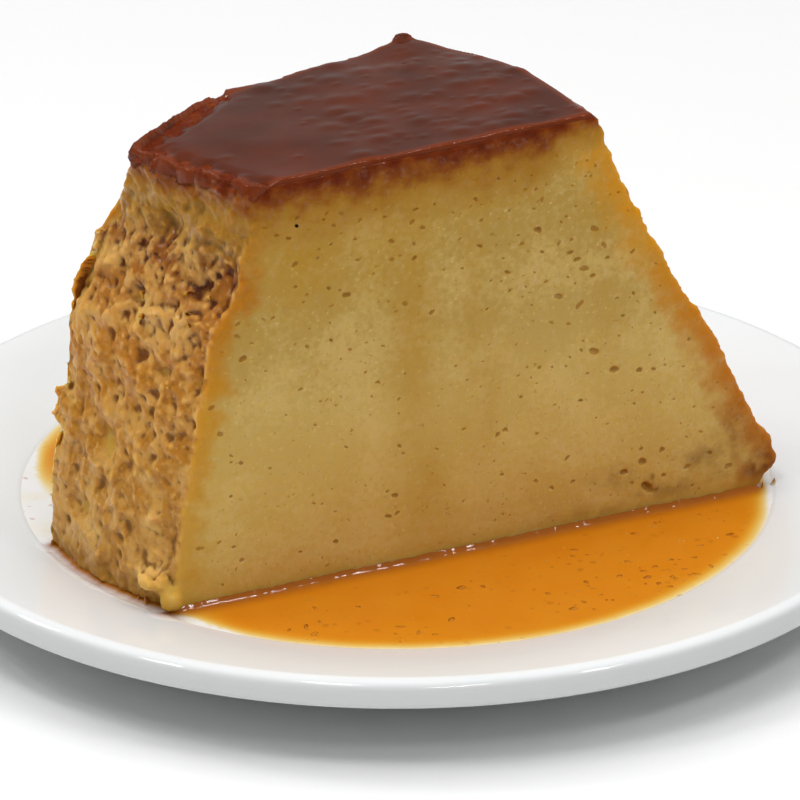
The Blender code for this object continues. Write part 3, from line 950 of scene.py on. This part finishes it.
def dress_custard(finish, hollow):
    """Fills the custard's material; hollow is the share of darker amber painted in as painted shade, for the pits'
    version.
    """
    finish.use_nodes = True
    tree = finish.node_tree
    shader = tree.nodes["Principled BSDF"]
    place = own_place(tree)
    height = add_node(tree, "ShaderNodeSeparateXYZ", Vector=place).outputs["Z"]
    up = spread(tree, height, 10 * MM, 77 * MM)
    wide = use_group(tree, patches, Vector=place, Size=13.0, Contrast=3.0).outputs["Share"]
    middle = use_group(tree, patches, Vector=place, Size=3.0, Contrast=2.5).outputs["Share"]
    fine = use_group(tree, patches, Vector=place, Size=0.9, Contrast=2.0).outputs["Share"]
    colour = gradient(tree, up, CUSTARD_TONE_AND_LIGHT_STOPS)
    mottle = arithmetic(tree, "ADD", wide, fine)
    colour = blend_colours(tree, spread(tree, mottle, 0.6, 1.8, 0.0, 0.6), colour, CUSTARD_PALE)
    granules = use_group(tree, spots, Vector=place, Size=1.1, Amount=0.6).outputs["Share"]
    colour = blend_colours(tree, arithmetic(tree, "MULTIPLY", granules, 0.65), colour, CUSTARD_PALE)
    specks = use_group(tree, spots, Vector=place, Size=0.8, Amount=0.35).outputs["Share"]
    specks = arithmetic(tree, "MULTIPLY", specks, spread(tree, middle, 0.3, 0.8, 0.25, 0.9))
    colour = blend_colours(tree, specks, colour, SPECK_BROWN)
    streak = arithmetic(tree, "MULTIPLY", stored(tree, "amber"), spread(tree, middle, 0.0, 1.0, 0.6, 1.0))
    colour = blend_colours(tree, streak, colour, CUSTARD_AMBER)

    uneven = arithmetic(tree, "MULTIPLY", arithmetic(tree, "SUBTRACT", middle, 0.5), 0.35)
    right = spread(tree, arithmetic(tree, "ADD", stored(tree, "right_skin"), uneven), 0.15, 1.0)
    colour = blend_colours(tree, right, colour, gradient(tree, up, RIGHT_STOPS))
    left = spread(tree, arithmetic(tree, "ADD", stored(tree, "left_skin"), uneven), 0.40, 0.95)
    colour = blend_colours(tree, left, colour, gradient(tree, up, LEFT_STOPS))

    flakes = use_group(tree, patches, Vector=place, Size=4.5, Contrast=3.5).outputs["Share"]
    torn = gradient(tree, up, TORN_STOPS)
    torn = blend_colours(tree, spread(tree, fine, 0.55, 0.1, 0.0, 0.5), torn, TORN_BROWN)
    torn = blend_colours(tree, spread(tree, flakes, 0.35, 0.85, 0.0, 0.45), torn, CURD_PALE)
    # painted light: the humps of the torn side are painted paler, as lit tops
    torn = blend_colours(tree, spread(tree, stored(tree, "hollow"), 0.47, 0.10, 0.0, 0.6), torn, CURD_PALE)
    torn = blend_colours(tree, stored(tree, "pale_curd"), torn, CURD_PALE)
    torn = blend_colours(tree, arithmetic(tree, "MULTIPLY", granules, 0.4), torn, CURD_PALE)
    # painted shade: the hollows of the torn side and random pore spots are painted dark
    pore_shade = use_group(tree, spots, Vector=place, Size=2.2, Amount=0.3).outputs["Share"]
    crevice_shade = arithmetic(tree, "ADD", spread(tree, stored(tree, "hollow"), 0.56, 0.95),
                         arithmetic(tree, "MULTIPLY", pore_shade, 0.45))
    torn = blend_colours(tree, crevice_shade, torn, gradient(tree, up, CREVICE_SHADE_STOPS))
    torn = blend_colours(tree, spread(tree, height, 15.5 * MM, 11.5 * MM, 0.0, 0.8), torn, TORN_FOOT)
    colour = blend_colours(tree, spread(tree, stored(tree, "torn_side"), 0.0, 0.6), colour, torn)

    bruise = arithmetic(tree, "MULTIPLY", stored(tree, "bruise"), spread(tree, middle, 0.2, 0.8, 0.3, 1.0))
    colour = blend_colours(tree, bruise, colour, BRUISE_BROWN)
    foot = spread(tree, height, 15 * MM, 11.5 * MM, 0.0, 0.4)
    colour = blend_colours(tree, foot, colour, CUSTARD_AMBER)
    soak_uneven = arithmetic(tree, "MULTIPLY", arithmetic(tree, "SUBTRACT", middle, 0.5), 0.18)
    soak = arithmetic(tree, "ADD", stored(tree, "depth"), soak_uneven)
    colour = blend_colours(tree, spread(tree, soak, 0.95, 0.35), colour, gradient(tree, soak, SOAK_STOPS))
    # painted shade: the pits' version is mixed towards a darker amber
    colour = blend_colours(tree, hollow, colour, PIT_SHADE_AMBER)
    tree.links.new(colour, shader.inputs["Base Color"])

    surface = use_group(tree, grain, Vector=place, Size=0.8).outputs["Height"]
    tree.links.new(bump(tree, surface, 0.5, 0.22 * MM), shader.inputs["Normal"])
    wet_side = arithmetic(tree, "MULTIPLY", stored(tree, "torn_side"), spread(tree, middle, 0.3, 0.8, 0.15, 0.6))
    wet_grain = spread(tree, fine, 0.62, 0.8, 0.0, 0.7)
    tree.links.new(arithmetic(tree, "MAXIMUM", wet_side, wet_grain), shader.inputs["Coat Weight"])
    shader.inputs["Coat Roughness"].default_value = 0.08
    shader.inputs["Coat IOR"].default_value = 1.36
    shader.inputs["Roughness"].default_value = 0.40
    shader.inputs["Specular IOR Level"].default_value = 0.08
    shader.inputs["Subsurface Weight"].default_value = 0.9
    shader.inputs["Subsurface Radius"].default_value = (1.0, 0.6, 0.25)
    shader.inputs["Subsurface Scale"].default_value = 2.2 * MM


dress_custard(custard_finish, 0.0)
dress_custard(pit_shade_finish, 0.65)
print("custard dressed")

# %% [markdown]
# ## Caramel top
# The caramel that lay in the mould's bottom has set into a dark, glossy skin over the whole top. It is a copy of
# the frame's thin layer, with a small peak joined at its far corner. After the remesh its edges are rounded, the
# front rim gets fine beads, and low bumps are raised on its right half.

# %% Caramel layer
CARAMEL_VOXEL = 0.36 * MM
SIDE_TUCK = 0.3 * MM
LEFT_PROUD = 0.6 * MM
TIP_PLACE = Vector((7.3 * MM, 13.0 * MM, caramel_high.z - 0.2 * MM))
caramel_left = wall_tree("caramel_top", lambda normal: normal.x < -0.5)
caramel_sides = wall_tree("caramel_top", lambda normal: abs(normal.z) < 0.5)

caramel = copy_node("caramel_top", "caramel_glaze")
pick_faces(caramel, lambda centre, normal: normal.z < -0.9)
bpy.ops.transform.translate(value=(0, 0, -0.25 * MM))
bpy.ops.object.mode_set(mode="OBJECT")
drops = scatter("drops", [ball(2)], [placed(TIP_PLACE, (1.9 * MM, 1.2 * MM, 0.9 * MM))])
take(drops)
caramel.select_set(True)
bpy.context.view_layer.objects.active = caramel
bpy.ops.object.join()
work(caramel, "REMESH", mode="VOXEL", voxel_size=CARAMEL_VOXEL)
work(caramel, "SMOOTH", factor=0.5, iterations=7)
weigh(caramel, "front_side", lambda point, normal: ramp(-normal.y, 0.2, 0.6))
displace(caramel, None, -SIDE_TUCK, 0.0, "front_side")
weigh(caramel, "left_side", lambda point, normal: ramp(-normal.x, 0.2, 0.6) * ramp(-point.x, 20 * MM, 30 * MM))
displace(caramel, None, LEFT_PROUD, 0.0, "left_side")
weigh(caramel, "back_left", lambda point, normal: ramp(-point.x, 16 * MM, 36 * MM) * ramp(normal.y, 0.1, 0.5))
displace(caramel, None, 1.4 * MM, 0.0, "back_left")
print("caramel skin", triangles(caramel), "triangles")

# %% [markdown]
# ### Bumps and beads
# A low bump is easiest as a rule for each vertex: it rises by a bell curve of its distance to the bump's middle.
# A few broad swellings follow the same rule, and along its left edge the caramel slumps over the torn custard.
# The beads along the rim come from a fine cloud pattern that acts only where the surface turns over the edge.

# %% Raising bumps
BUMP_COUNT = 150
# Broad swellings and hollows of the top: (x, y, radius, height), in millimetres
TOP_SWELLS = ((6.5, 12.0, 5.0, 1.0), (14.5, 5.5, 5.0, -0.7), (-12.0, -8.0, 9.0, -0.3))
bump_dice = random.Random(21)


def top_bumps():
    """Random bumps as (x, y, radius, height), most of them right of the middle and towards the back."""
    made = []
    while len(made) < BUMP_COUNT:
        x = bump_dice.uniform(-40, 19) * MM
        y = bump_dice.uniform(-25, 13) * MM
        wanted = 0.12 + 0.9 * ramp(x - 0.3 * y, -26 * MM, -2 * MM)
        if bump_dice.random() < wanted:
            radius = bump_dice.choice((0.5, 0.6, 0.8, 1.0, 1.4)) * MM
            made.append((x, y, radius, radius * bump_dice.uniform(0.12, 0.26)))
    return made


skin = read_vectors(caramel, "co")
facing_up = np.clip((read_vectors(caramel, "normal")[:, 2] - 0.3) / 0.4, 0, 1)
rise = np.zeros(len(skin))
for x, y, radius, height in top_bumps():
    far = ((skin[:, 0] - x) / 1.3) ** 2 + (skin[:, 1] - y) ** 2
    rise = np.maximum(rise, height * np.exp(-far / radius ** 2))
for x, y, radius, height in TOP_SWELLS:
    far = (skin[:, 0] / MM - x) ** 2 + (skin[:, 1] / MM - y) ** 2
    rise += height * MM * np.exp(-far / radius ** 2)
skin[:, 2] += rise * facing_up
for index, place in enumerate(skin):
    if place[0] < -25 * MM:
        spot = Vector(place)
        slump = 0.7 + 0.9 * noise.noise(spot * 420)
        skin[index, 2] -= slump * MM * ramp(distance(caramel_left, spot), 3.5 * MM, 0.5 * MM)
caramel.data.vertices.foreach_set("co", skin.ravel())
caramel.data.update()
weigh(caramel, "rim", lambda point, normal: ramp(normal.z, 0.1, 0.3) * ramp(normal.z, 0.97, 0.85) *
      ramp(-normal.y, 0.2, 0.5))
weigh(caramel, "upper", lambda point, normal: ramp(normal.z, 0.0, 0.4))
displace(caramel, clouds("top_waves", 12 * MM, 1), 0.7 * MM, 0.5, "upper")
displace(caramel, clouds("beads", 0.8 * MM, 1), 0.5 * MM, 0.5, "rim")
store(caramel, "hollow", hollow_share(caramel, 8, 0.25 * MM))
paint(caramel, "gloss", lambda point, normal: ramp(normal.z, 0.2, 0.6) * (0.5 + 0.3 * ramp(point.y, -12 * MM, 8 * MM)))
paint(caramel, "edge", lambda point, normal: ramp(distance(caramel_sides, point), 2.6 * MM, 0.2 * MM))
take(caramel)
bpy.ops.object.shade_smooth()
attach(caramel, "root")
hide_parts("caramel_top")
print("caramel", triangles(caramel), "triangles")

# %% Caramel material
CARAMEL_DARK = (0.058, 0.010, 0.002)
CARAMEL_RED = (0.105, 0.017, 0.003)
CARAMEL_THIN_AND_LIT_RED = (0.20, 0.032, 0.003)
caramel_finish, tree, shader = new_material("dark_caramel", Roughness=0.35, Specular_IOR_Level=0.1,
                                            Coat_Roughness=0.13, Coat_IOR=1.5)
place = own_place(tree)
tone = use_group(tree, patches, Vector=place, Size=10.0, Contrast=2.5).outputs["Share"]
colour = blend_colours(tree, tone, CARAMEL_DARK, CARAMEL_RED)
# painted light: the caramel's humps and rounded edges are painted a lighter red, as lit tops
edge = spread(tree, stored(tree, "hollow"), 0.45, 0.05, 0.0, 0.5)
colour = blend_colours(tree, edge, colour, CARAMEL_THIN_AND_LIT_RED)
# near its sides the caramel is thin and has its own redder colour
colour = blend_colours(tree, spread(tree, stored(tree, "edge"), 0.3, 1.0, 0.0, 0.55), colour, CARAMEL_THIN_AND_LIT_RED)
tree.links.new(colour, shader.inputs["Base Color"])
gloss = arithmetic(tree, "ADD", stored(tree, "gloss"), 0.1)
tree.links.new(gloss, shader.inputs["Coat Weight"])
surface = use_group(tree, grain, Vector=place, Size=1.6).outputs["Height"]
tree.links.new(bump(tree, surface, 0.12, 0.12 * MM), shader.inputs["Normal"])
caramel.data.materials.append(caramel_finish)
print("caramel dressed")

# %% [markdown]
# ## Sauce
# Thin caramel fills the plate's well and climbs a little way up the custard, in a curved edge called a meniscus.
# We start from a grid at the sauce's level, drop what lies under the slice, and cut finer cells along the
# slice's foot, where the curve needs them. Each vertex then rises by its distance to the custard. At the left
# foot the slice stands on the plate's slope, where a thin film of sauce clings to it.

# %% Sauce surface
MENISCUS_HEIGHT = 1.35 * MM
MENISCUS_REACH = 0.55 * MM
POOL_REACH = WELL_EDGE[0] + 1 * MM
FILM_OUT = 64 * MM
FILM_HEIGHT = 1.15 * MM
FILM_REACH = 1.3 * MM

custard_tree = BVHTree.FromPolygons(
    [vertex.co for vertex in custard.data.vertices], [tuple(face.vertices) for face in custard.data.polygons]
)


def gap_to_custard(point):
    """Distance to the custard's skin, negative inside it: there, a ray upwards meets a face from below."""
    far = distance(custard_tree, point)
    normal = custard_tree.ray_cast(point, Vector((0, 0, 1)))[1]
    return -far if normal and normal.z > 0 else far


bpy.ops.object.select_all(action="DESELECT")
bpy.ops.mesh.primitive_grid_add(x_subdivisions=136, y_subdivisions=136, size=2 * FILM_OUT,
                                location=(0, 0, SAUCE_LEVEL))
sauce = bpy.context.active_object
sauce.name = "sauce_pool"
bpy.ops.object.transform_apply(location=True)


def far_from_pool(centre, normal):
    gap = gap_to_custard(centre)
    return gap < -2.2 * MM or (centre.xy.length > POOL_REACH and gap > 3.5 * MM)


pick_faces(sauce, far_from_pool)
bpy.ops.mesh.delete(type="FACE")
bpy.ops.object.mode_set(mode="OBJECT")
for reach in (4.0 * MM, 1.8 * MM):
    pick_faces(sauce, lambda centre, normal: abs(gap_to_custard(centre)) < reach)
    bpy.ops.mesh.subdivide(number_cuts=1)
    bpy.ops.object.mode_set(mode="OBJECT")

for vertex in sauce.data.vertices:
    gap = max(0.0, gap_to_custard(vertex.co))
    ripple = 1 + 0.06 * noise.noise(vertex.co * 300) + 0.04 * noise.noise(vertex.co * 900)
    level = SAUCE_LEVEL + MENISCUS_HEIGHT * ripple * math.exp(-gap / MENISCUS_REACH)
    level += 0.04 * MM * noise.noise(vertex.co * 160)
    film = FILM_HEIGHT * math.exp(-gap / FILM_REACH) - 0.15 * MM
    vertex.co.z = max(level, plate_surface(vertex.co.xy.length) + film)
print("sauce surface", triangles(sauce), "triangles")

# %% [markdown]
# The surface is extruded down into a block, and the plate's inside is cut away from it. The cutter is the
# plate's own profile, a hair lower, so that the sauce just enters the glaze and no gap shows.

# %% Sauce body
take(sauce)
bpy.ops.object.mode_set(mode="EDIT")
bpy.ops.mesh.select_all(action="SELECT")
bpy.ops.mesh.extrude_region_move(TRANSFORM_OT_translate={"value": (0, 0, -6 * MM)})
bpy.ops.mesh.select_all(action="SELECT")
bpy.ops.mesh.normals_make_consistent(inside=False)
bpy.ops.object.mode_set(mode="OBJECT")

reach = FILM_OUT + 10 * MM
slope_end = (reach, plate_surface(reach) - 0.03 * MM)
well_cutter = turned("well_cutter", well_profile(-0.03 * MM) + [slope_end, (reach, 0.0), (0.0, 0.0)], SPIN_STEPS)
work(sauce, "BOOLEAN", operation="DIFFERENCE", solver="EXACT", object=well_cutter)
bpy.data.objects.remove(well_cutter)
DEPTH_SCALE = 3 * MM
EDGE_DEPTH = 0.35 * MM


def sauce_depth(point, normal):
    """Depth of the sauce below this place as a share of 3 mm, thinner at the left and right ends."""
    depth = point.z - plate_surface(math.hypot(point.x, point.y)) + EDGE_DEPTH
    clear = 1 - math.exp(-max(0.0, gap_to_custard(point)) / FILM_REACH)
    thinner = 4.0 * ramp(-point.x, 43 * MM, 55 * MM) + 1.6 * ramp(point.x, 42 * MM, 57 * MM)
    return max(0.0, depth - thinner * clear * MM) / DEPTH_SCALE


paint(sauce, "depth", sauce_depth)
paint(sauce, "near", lambda point, normal: math.exp(-max(0.0, gap_to_custard(point)) / (2.2 * MM)))
take(sauce)
bpy.ops.object.shade_smooth_by_angle(angle=math.radians(35))
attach(sauce, "root")
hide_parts("caramel_sauce")
print("sauce", triangles(sauce), "triangles")

# %% [markdown]
# ### Sauce colour
# Seen through a thin clear sauce, white porcelain turns yellow, then orange, then amber as the sauce gets
# deeper. Each colour of light fades by its own rate, so the colour at a depth is worked out from three rates.
# Next to the custard the sauce is painted a darker amber, partly as painted shade of the slice and partly for
# the custard's foot seen through the sauce.

# %% Sauce material
FADE_PER_MM = (0.08, 0.48, 1.75)
PLATE_WHITE = 0.83
SAUCE_NEAR_SHADE = (0.33, 0.095, 0.006)
SAUCE_SPECK = (0.44, 0.135, 0.007)


def sauce_colour(depth):
    """Colour of the white plate under this depth of sauce, in millimetres."""
    return tuple(PLATE_WHITE * math.exp(-fade * depth) for fade in FADE_PER_MM)


sauce_finish, tree, shader = new_material("amber_sauce", Roughness=0.05, IOR=1.40)
place = own_place(tree)
stops = [(share, sauce_colour(share * DEPTH_SCALE / MM)) for share in (0.0, 0.12, 0.25, 0.4, 0.6, 0.8, 1.0)]
tone = use_group(tree, patches, Vector=place, Size=6.0, Contrast=2.0).outputs["Share"]
shift = arithmetic(tree, "MULTIPLY", arithmetic(tree, "SUBTRACT", tone, 0.5), 0.08)
colour = gradient(tree, arithmetic(tree, "ADD", stored(tree, "depth"), shift), stops)
cluster = use_group(tree, patches, Vector=place, Size=14.0, Contrast=4.0).outputs["Share"]
speck = use_group(tree, spots, Vector=place, Size=1.6, Amount=0.5).outputs["Share"]
speck = arithmetic(tree, "MULTIPLY", arithmetic(tree, "MULTIPLY", speck, cluster), 0.6)
colour = blend_colours(tree, speck, colour, SAUCE_SPECK)
# painted shade: next to the custard the sauce is painted darker amber, partly the slice's shade and partly its foot
# seen through the sauce
colour = blend_colours(tree, spread(tree, stored(tree, "near"), 0.25, 1.0), colour, SAUCE_NEAR_SHADE)
tree.links.new(colour, shader.inputs["Base Color"])
sauce.data.materials.append(sauce_finish)
print("sauce dressed")

# %% [markdown]
# ### Flecks and bubbles
# Brown specks of custard skin float in the sauce, in loose clusters, with a few tiny bubbles between them. Each
# fleck is a flattened, uneven ball that lies level with the surface.

# %% Flecks
# Clusters: (x, y, spread, count), in millimetres
FLECK_CLUSTERS = (
    (25.9, -48.0, 3.0, 14), (19.6, -47.0, 3.5, 16), (28.2, -33.0, 3.5, 12), (12.4, -35.0, 3.0, 8),
    (-6.0, -40.7, 5.0, 12), (-19.4, -48.5, 3.0, 12), (-26.4, -36.0, 3.0, 6), (37.0, -38.0, 3.0, 9),
    (5.0, -50.0, 5.0, 12), (-34.0, -38.5, 3.0, 6), (14.0, -42.0, 9.0, 16), (-50.0, -20.5, 2.0, 3),
    (0.0, 35.0, 14.0, 30), (-20.0, 42.0, 10.0, 16), (25.0, 38.0, 9.0, 14),
)
fleck_dice = random.Random(3)


def pool_spots(clusters, clear):
    """Random spots on the open sauce, at least this clear of the custard and of the pool's edge."""
    for x, y, reach, count in clusters:
        for _ in range(count):
            spot = Vector((fleck_dice.gauss(x, reach) * MM, fleck_dice.gauss(y, reach) * MM, SAUCE_LEVEL))
            if spot.xy.length < WELL_EDGE[0] - clear - 1 * MM and gap_to_custard(spot) > clear:
                yield spot


fleck_places = []
for spot in pool_spots(FLECK_CLUSTERS, 1.5 * MM):
    length = fleck_dice.choice((0.2, 0.28, 0.4, 0.6, 0.9)) * MM
    size = (length, length * fleck_dice.uniform(0.35, 0.8), 0.05 * MM)
    fleck_places.append(placed(spot, size, (0, 0, fleck_dice.uniform(0, math.pi))))
flecks = scatter("sauce_flecks", [uneven_ball(1, shift) for shift in (2.2, 4.4, 6.6)], fleck_places)
take(flecks)
bpy.ops.object.shade_smooth()
fleck_finish, tree, shader = new_material("brown_fleck", Roughness=0.15, IOR=1.4)
tone = use_group(tree, patches, Vector=own_place(tree), Size=4.0, Contrast=3.0).outputs["Share"]
colour = blend_colours(tree, tone, (0.50, 0.155, 0.008), (0.66, 0.24, 0.012))
tree.links.new(colour, shader.inputs["Base Color"])
flecks.data.materials.append(fleck_finish)
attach(flecks, "root")

bubble_places = []
for spot in pool_spots([(x, y, reach * 1.6, 2 + count // 5) for x, y, reach, count in FLECK_CLUSTERS], 1 * MM):
    radius = fleck_dice.choice((0.12, 0.16, 0.22)) * MM
    bubble_places.append(placed(spot, (radius * fleck_dice.uniform(1, 2.4), radius, radius * 0.8),
                                (0, 0, fleck_dice.uniform(0, math.pi))))
bubbles = scatter("sauce_bubbles", [ball(2)], bubble_places)
take(bubbles)
bpy.ops.object.shade_smooth()
bubble_finish, tree, shader = new_material("sauce_bubble", Roughness=0.03, IOR=1.5)
tone = use_group(tree, patches, Vector=own_place(tree), Size=3.0, Contrast=2.0).outputs["Share"]
colour = blend_colours(tree, tone, (0.60, 0.24, 0.015), (0.66, 0.32, 0.05))
tree.links.new(colour, shader.inputs["Base Color"])
bubbles.data.materials.append(bubble_finish)
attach(bubbles, "root")
print("flecks", len(fleck_places), "bubbles", len(bubble_places))
